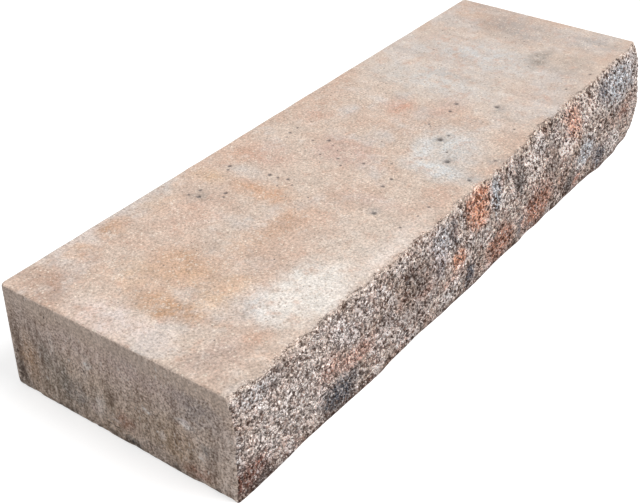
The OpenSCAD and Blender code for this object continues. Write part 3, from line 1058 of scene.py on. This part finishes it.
def makeBlock(node, values):
    grid, outward, splitShare, region, heights, top = makeSkin(node, values)
    grid = wearSkin(grid, outward, splitShare, heights, top, values)
    rows, count = grid.shape[:2]
    rng = random.Random(values["seed"])
    places = [tuple(p) for p in grid.reshape(-1, 3)]
    share = list(splitShare.reshape(-1))
    treadShare = [0.0] * len(places)
    pitShadeShare = [0.0] * len(places)
    breakBand, rimBand, fullBand = values["treadBand"]
    for k in range(rows):
        for u in range(count):
            if splitShare[k, u] > values["brokenFrom"]:
                treadShare[k * count + u] = 1.0 if heights[k] > top - breakBand else 0.0
            elif heights[k] > top - rimBand:
                treadShare[k * count + u] = 1.0 if heights[k] > top - fullBand else 0.4
    faces, areas = [], []

    def strip(inner, outer, names):
        # a band of faces between two loops
        for u in range(count):
            v = (u + 1) % count
            faces.append((inner + u, inner + v, outer + v, outer + u))
            areas.append(names[u])

    for k in range(rows - 1):
        strip(k * count, (k + 1) * count, region)

    # rims run wide along the break and narrow round the corners
    rimX = grid[-1, :, 0]
    roomX = np.clip((rimX.max() - np.abs(rimX) - values["frontCorner"]) / values["rimTaper"], 0, 1)
    narrow = values["rimNarrow"]
    width = narrow + (1 - narrow) * roomX * (splitShare[rows // 2] > 0.9)

    def ring(k, inset, z, broken=0.0):
        first = len(places)
        for u in range(count):
            x, y, _ = places[k * count + u]
            reach = inset * width[u]
            places.append((x - outward[k, u, 0] * reach, y - outward[k, u, 1] * reach, z))
            share.append(broken * splitShare[rows // 2, u])
            treadShare.append(1.0 if z > top / 2 else 0.0)
            pitShadeShare.append(0.0)
        return first

    def cap(first, extra, step, inset, name, flip):
        rim = [Vector(places[first + u][:2]) for u in range(count)]
        height = places[first][2]
        flat = list(rim)
        depths = {}
        for x, y, radius in extra:
            phase = rng.uniform(0, 6.3)  # about one turn
            depths[len(flat)] = (values["pitDepth"] * radius, 1.0)
            flat.append(Vector((x, y)))
            for size, depth, dark in values["pitRings"]:
                for n in range(values["pitSides"]):
                    turn = phase + n * math.tau / values["pitSides"]
                    reach = radius * size * rng.uniform(0.8, 1.15)
                    depths[len(flat)] = (depth * radius, dark)
                    flat.append(Vector((x + reach * math.cos(turn), y + reach * math.sin(turn))))
        loop = np.array([places[first + u] for u in range(count)])
        frontPart = loop[:len([r for r in region if r == "split"])]
        order = np.argsort(frontPart[:, 0])
        fx, fy = frontPart[order, 0], frontPart[order, 1]
        x = loop[:, 0].min() + inset
        while x < loop[:, 0].max() - inset:
            y = float(np.interp(x, fx, fy)) + inset
            while y < loop[:, 1].max() - inset:
                point = Vector((x + rng.uniform(-0.2, 0.2) * step, y + rng.uniform(-0.2, 0.2) * step))
                if all((point - Vector(e[:2])).length > e[2] * values["pitClear"] for e in extra):
                    flat.append(point)
                y += step
            x += step
        edges = [(u, (u + 1) % count) for u in range(count)]
        spots, _, tris, origins, _, _ = geometry.delaunay_2d_cdt(flat, edges, [], 1, 1e-7)
        index = {}
        for i, spot in enumerate(spots):
            source = origins[i][0] if origins[i] else None
            if source is not None and source < count:
                index[i] = first + source
                continue
            # each pit point keeps its depth and its share of painted shade
            depth, dark = depths.get(source, (0.0, 0.0))
            index[i] = len(places)
            places.append((spot.x, spot.y, height - depth))
            share.append(0.0)
            treadShare.append(1.0 if name == "tread" else 0.0)
            pitShadeShare.append(dark)
        for tri in tris:
            corners = [index[i] for i in tri]
            faces.append(tuple(reversed(corners)) if flip else tuple(corners))
            areas.append(name)

    # tread: thin rims first, where the break still shows, then the field with its pits
    treadRim = (rows - 1) * count
    for inset, broken in values["treadRims"]:
        wider = ring(rows - 1, inset, top, broken)
        strip(treadRim, wider, ["tread"] * count)
        treadRim = wider
    pits = [(x / 1000, y / 1000, r / 1000 * values["pitSwell"]) for x, y, r in treadPits]
    spans = (*values["finePitArea"], values["finePitRadius"])
    for _ in range(values["finePits"]):
        spot = tuple(rng.uniform(*span) for span in spans)
        if all(math.dist(spot[:2], other[:2]) > values["pitsApart"] for other in pits):
            pits.append(spot)
    cap(treadRim, pits, values["treadGrid"], values["treadInset"], "tread", False)
    bedRim = ring(0, values["bedInset"], 0.0)
    strip(bedRim, 0, ["bed"] * count)
    cap(bedRim, [], values["bedGrid"], values["bedFieldInset"], "bed", True)

    mesh = bpy.data.meshes.new("blockStepSkin")
    mesh.from_pydata(places, [], faces)
    for name, numbers in (("splitShare", share), ("treadShare", treadShare), ("pitShadeShare", pitShadeShare)):
        attribute = mesh.attributes.new(name, "FLOAT", "POINT")
        attribute.data.foreach_set("value", np.array(numbers, dtype=np.float32))
    laySheet(mesh, areas)
    mesh.shade_smooth()
    mesh.validate()
    mesh.update()
    return mesh


def laySheet(mesh, areas):
    # flat layout of the six sides for the surface maps
    scale = 0.745
    origins = {"tread": (0.63, 0.20, 0.01), "bed": (0.63, 0.62, 0.41), "split": (0.63, 0.0, 0.835),
               "back": (0.63, 0.0, 1.02), "nearEnd": (0.22, 0.0, 1.195), "farEnd": (0.66, 0.0, 1.195)}
    layer = mesh.uv_layers.new(name="OFBake")
    corners = np.zeros((len(mesh.loops), 2), dtype=np.float32)
    for polygon in mesh.polygons:
        area = areas[polygon.index]
        ox, oy, rise = origins[area]
        for index in polygon.loop_indices:
            x, y, z = mesh.vertices[mesh.loops[index].vertex_index].co
            across = {"back": -x, "nearEnd": -y, "farEnd": y}.get(area, x)
            up = {"tread": y + oy + rise, "bed": oy - y}.get(area, z + rise)
            corners[index] = ((ox + across) * scale, up * scale)
    layer.data.foreach_set("uv", corners.reshape(-1))


# relief of the broken face, by geometry nodes

reliefForm = {
    "Lump Size": 0.020, "Lump Depth": 0.0042,
    "Grain Size": 0.0060, "Grain Depth": 0.0030,
    "Pit Size": 0.0085, "Pit Depth": 0.0028,
}


def newShapeTree(name, values):
    # a geometry tree with a named input for each value, and one for the material
    inputs = {"Geometry": ("Geometry", None)}
    for label, value in values.items():
        inputs[label] = ("Int" if isinstance(value, int) else "Float", None)
    inputs["Finish"] = ("Material", None)
    return newGroup(name, inputs, {"Geometry": "Geometry"}, "GeometryNodeTree")


def stored(tree, name):
    return newNode(tree, "GeometryNodeInputNamedAttribute", {"Name": name}, data_type="FLOAT").outputs[0]


def store(tree, geometry, name, value, domain="POINT"):
    return newNode(tree, "GeometryNodeStoreNamedAttribute", {
        "Geometry": geometry, "Name": name, "Value": value}, data_type="FLOAT", domain=domain).outputs[0]


def finishTree(tree, geometry, given, out):
    real = newNode(tree, "GeometryNodeRealizeInstances", {"Geometry": geometry})
    done = newNode(tree, "GeometryNodeSetMaterial", {
        "Geometry": real.outputs[0], "Material": given.outputs["Finish"]})
    plug(tree, done.outputs[0], out.inputs[0])
    return tree


def makeReliefTree(values):
    tree, given, out = newShapeTree("splitRelief", values)
    place = newNode(tree, "GeometryNodeInputPosition").outputs[0]
    share = stored(tree, "splitShare")
    height = axisOf(tree, place, 2)

    def perMetre(name):
        return calc(tree, "DIVIDE", 1.0, given.outputs[name])

    lump = noiseField(tree, place, perMetre("Lump Size"), 3.0, 0.6)
    lump = times(tree, ramp(tree, lump, 0.25, 0.75, -0.5, 0.5, "LINEAR"), given.outputs["Lump Depth"])
    gap = cells(tree, place, perMetre("Grain Size")).outputs["Distance"]
    grain = times(tree, calc(tree, "SUBTRACT", 0.45, gap), given.outputs["Grain Depth"])
    pits = cells(tree, moved(tree, place, (0.3, 0.7, 0.2)), perMetre("Pit Size"))
    chosen = newNode(tree, "FunctionNodeSeparateColor", {"Color": pits.outputs["Color"]}).outputs[0]
    pit = times(tree, ramp(tree, pits.outputs["Distance"], 0.1, 0.42, 1.0, 0.0),
                ramp(tree, chosen, 0.4, 0.5))
    sunk = times(tree, pit, given.outputs["Pit Depth"])
    lift = calc(tree, "SUBTRACT", calc(tree, "ADD", lump, grain), sunk)
    # the foot stays straight
    lift = times(tree, times(tree, lift, share), ramp(tree, height, 0.001, 0.008, 0.1, 1.0))
    offset = vectorCalc(tree, "SCALE", newNode(tree, "GeometryNodeInputNormal").outputs[0], scale=lift)
    # where the relief sinks, kept for painting shade into the hollows
    hollowShade = calc(tree, "ADD", times(tree, pit, 0.7), gap, clamp=True)
    kept = store(tree, given.outputs["Geometry"], "hollowShadeShare", hollowShade)
    lifted = newNode(tree, "GeometryNodeSetPosition", {"Geometry": kept, "Offset": offset})
    return finishTree(tree, lifted.outputs[0], given, out)


gritForm = {
    "Spacing": 0.0034, "Most Per Area": 100000.0,
    "Smallest": 0.0009, "Largest": 0.0032, "Seed": 11,
}


def makeGritTree(values):
    tree, given, out = newShapeTree("exposedAggregate", values)
    seed = given.outputs["Seed"]
    share = stored(tree, "splitShare")
    height = axisOf(tree, newNode(tree, "GeometryNodeInputPosition").outputs[0], 2)
    chosen = times(tree, ramp(tree, share, 0.7, 1.0, shape="LINEAR"),
                   calc(tree, "GREATER_THAN", height, 0.006))
    scattered = newNode(tree, "GeometryNodeDistributePointsOnFaces", {
        "Mesh": given.outputs["Geometry"], "Distance Min": given.outputs["Spacing"],
        "Density Max": given.outputs["Most Per Area"], "Density Factor": chosen,
        "Seed": seed}, distribute_method="POISSON")

    def chance(offset):
        node = newNode(tree, "FunctionNodeRandomValue", data_type="FLOAT")
        plug(tree, calc(tree, "ADD", seed, float(offset)), node.inputs["Seed"])
        return node.outputs[1]

    def chanceVector(low, high, drawnFrom):
        node = newNode(tree, "FunctionNodeRandomValue", data_type="FLOAT_VECTOR")
        plug(tree, (low, low, low), node.inputs[0])
        plug(tree, (high, high, high), node.inputs[1])
        plug(tree, drawnFrom, node.inputs["Seed"])
        return node.outputs[0]

    draw = calc(tree, "POWER", chance(1), 2.6)
    span = calc(tree, "SUBTRACT", given.outputs["Largest"], given.outputs["Smallest"])
    size = calc(tree, "MULTIPLY_ADD", draw, span, given.outputs["Smallest"])
    sized = store(tree, scattered.outputs["Points"], "stoneSize", size)
    kept = stored(tree, "stoneSize")
    sunk = vectorCalc(tree, "SCALE", scattered.outputs["Normal"], scale=times(tree, kept, -0.35))
    bedded = newNode(tree, "GeometryNodeSetPosition", {"Geometry": sized, "Offset": sunk})
    stone = newNode(tree, "GeometryNodeMeshIcoSphere", {"Radius": 1.0, "Subdivisions": 1})
    turn = chanceVector(0.0, 6.28, seed)
    form = chanceVector(0.65, 1.25, calc(tree, "ADD", seed, 5.0))
    laid = newNode(tree, "GeometryNodeInstanceOnPoints", {
        "Points": bedded.outputs[0], "Instance": stone.outputs[0], "Rotation": turn,
        "Scale": vectorCalc(tree, "SCALE", form, scale=kept)})
    toned = store(tree, laid.outputs[0], "stoneTone", chance(9), "INSTANCE")
    return finishTree(tree, toned, given, out)


def runTree(mesh, tree, values, material, name):
    # runs a tree on a mesh and gives the result back as a plain object
    carrier = bpy.data.objects.new(name + "Base", mesh)
    scene.collection.objects.link(carrier)
    modifier = carrier.modifiers.new(name, "NODES")
    modifier.node_group = tree
    for item in tree.interface.items_tree:
        if item.in_out == "INPUT" and item.name in values:
            modifier[item.identifier] = values[item.name]
        if item.in_out == "INPUT" and item.name == "Finish":
            modifier[item.identifier] = material
    bpy.context.view_layer.update()
    evaluated = carrier.evaluated_get(bpy.context.evaluated_depsgraph_get())
    result = bpy.data.meshes.new_from_object(evaluated)
    carrier.modifiers.clear()
    bpy.data.objects.remove(carrier)
    result.name = name
    piece = bpy.data.objects.new(name, result)
    scene.collection.objects.link(piece)
    return piece


def keepInside(mesh, low, high):
    places = np.empty(len(mesh.vertices) * 3, dtype=np.float32)
    mesh.vertices.foreach_get("co", places)
    places = np.clip(places.reshape(-1, 3), np.array(low), np.array(high))
    mesh.vertices.foreach_set("co", places.reshape(-1))
    mesh.update()


boxLow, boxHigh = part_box("block_step")
skin = makeBlock(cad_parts["block_step"], blockForm)
print("skin laid", len(skin.polygons), "faces")

blockStep = runTree(skin, makeReliefTree(reliefForm), reliefForm, castConcrete, "blockStep")
keepInside(blockStep.data, boxLow, boxHigh)
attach(blockStep, "root")
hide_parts("block_step")
print("split face broken")

splitGrit = runTree(blockStep.data.copy(), makeGritTree(gritForm), gritForm, exposedGrit, "splitGrit")
keepInside(splitGrit.data, boxLow, boxHigh)
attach(splitGrit, "root")
print("grit bedded", len(splitGrit.data.polygons), "faces")


# floor, backdrop and light

stageSetup = {
    "floorSize": 14.0,
    "floorColour": 0.60,
    "floorGlow": 0.66,  # seen by the camera only
    "skyStrength": 0.42,
    "keyFrom": (0.30, -0.62, 0.95),
    "keySoftness": 35,  # degrees
    "keyPower": 2.35,
}


def seenStraight(tree):
    # 1 where the eye sees a thing, mirrored or through glass as well
    rays = newNode(tree, "ShaderNodeLightPath")
    seen = larger(tree, rays.outputs["Is Camera Ray"], rays.outputs["Is Glossy Ray"])
    return larger(tree, seen, rays.outputs["Is Transmission Ray"])


def makeFloor(values):
    half = values["floorSize"] / 2
    mesh = bpy.data.meshes.new("floor")
    corners = [(-half, -half, 0), (half, -half, 0), (half, half, 0), (-half, half, 0)]
    mesh.from_pydata(corners, [], [(0, 1, 2, 3)])
    material, tree, shader = newMaterial("paleFloor", 0.0)
    level = values["floorColour"]
    shader.inputs["Base Color"].default_value = (level, level, level, 1)
    shader.inputs["Roughness"].default_value = 0.9
    shader.inputs["Emission Color"].default_value = (1, 1, 1, 1)
    plug(tree, times(tree, seenStraight(tree), values["floorGlow"]), shader.inputs["Emission Strength"])
    mesh.materials.append(material)
    floor = bpy.data.objects.new("floor", mesh)
    scene.collection.objects.link(floor)


def makeSky(values):
    world = bpy.data.worlds.new("studio")
    scene.world = world
    world.use_nodes = True
    tree = world.node_tree
    background = tree.nodes["Background"]
    background.inputs["Color"].default_value = (1, 1, 1, 1)
    strength = mixValue(tree, seenStraight(tree), values["skyStrength"], 1.0)
    plug(tree, strength, background.inputs["Strength"])


def makeKey(values):
    lamp = bpy.data.lights.new("key", "SUN")
    lamp.angle = math.radians(values["keySoftness"])
    lamp.energy = values["keyPower"]
    light = bpy.data.objects.new("key", lamp)
    light.rotation_euler = (-Vector(values["keyFrom"])).to_track_quat("-Z", "Y").to_euler()
    scene.collection.objects.link(light)


makeFloor(stageSetup)
makeSky(stageSetup)
makeKey(stageSetup)
print("stage lit")
